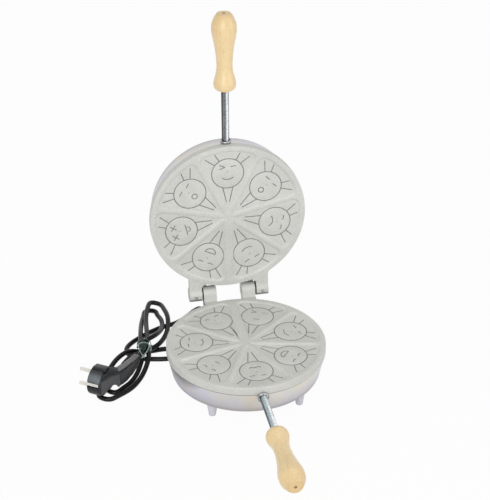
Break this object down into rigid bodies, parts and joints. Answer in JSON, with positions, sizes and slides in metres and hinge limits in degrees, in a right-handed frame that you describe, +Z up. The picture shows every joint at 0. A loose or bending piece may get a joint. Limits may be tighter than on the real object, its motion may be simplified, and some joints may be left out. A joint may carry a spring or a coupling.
{
  "type": "electric pizzelle iron",
  "caption": "Round electric pizzelle iron, lid open on its hinge, with petal moulds in both plates, turned wooden handles, tapered feet and a mains lead tied in a hank.",
  "frame": {"origin": "centre of the object's footprint on the table, without the free lead", "axes": "+Z up, -Y along the base handle towards the user, +X to the user's right"},
  "size_m": [0.309, 0.4644, 0.448],
  "materials": {
    "cast_plate": "matt as cast",
    "spun_casing": "satin spun",
    "element_steel": "dull",
    "thermostat_case": "satin",
    "insulation_wool": "matt",
    "block_ceramic": "glazed",
    "wire_sleeve": "woven",
    "screw_steel": "zinc plated",
    "rod_zinc": "bright zinc",
    "collar_steel": "bright",
    "beech": "lacquered",
    "cord_rubber": "matt",
    "foot_plastic": "satin",
    "tie_green": "satin",
    "plug_black": "satin",
    "pin_nickel": "nickel plated"
  },
  "bodies": {
    "base": {"base_plate": "cast_plate", "base_casing": "spun_casing", "base_heater": "element_steel", "base_thermostat": "thermostat_case", "base_insulation": "insulation_wool", "base_terminal_block": "block_ceramic", "base_wires": "wire_sleeve", "base_casing_screw": "screw_steel", "base_rod": "rod_zinc", "base_rod_collar": "collar_steel", "base_handle": "beech", "base_link_bush": "cord_rubber", "cord_gland": "cord_rubber", "inner_lead": "cord_rubber", "foot_screws": "screw_steel", "foot_nuts": "screw_steel", "foot_front_left": "foot_plastic", "foot_front_right": "foot_plastic", "foot_rear_left": "foot_plastic", "foot_rear_right": "foot_plastic", "cord_lead": "cord_rubber", "cord_hank": "cord_rubber", "twist_tie": "tie_green", "plug_body": "plug_black", "plug_boot": "plug_black", "plug_pins": "pin_nickel", "plug_earth_clips": "pin_nickel"},
    "lid": {"lid_plate": "cast_plate", "lid_casing": "spun_casing", "lid_heater": "element_steel", "lid_thermostat": "thermostat_case", "lid_insulation": "insulation_wool", "lid_terminal_block": "block_ceramic", "lid_wires": "wire_sleeve", "lid_casing_screw": "screw_steel", "lid_rod": "rod_zinc", "lid_rod_collar": "collar_steel", "lid_handle": "beech", "lid_link_bush": "cord_rubber", "hinge_pin_left": "screw_steel", "hinge_pin_right": "screw_steel", "hinge_set_screws": "screw_steel"}
  },
  "joints": [
    {"name": "lid_hinge", "type": "hinge", "parent": "base", "child": "lid", "pos_m": [0, 0.17036, 0.066], "axis": [1, 0, 0], "range_deg": [0, 91]}
  ]
}
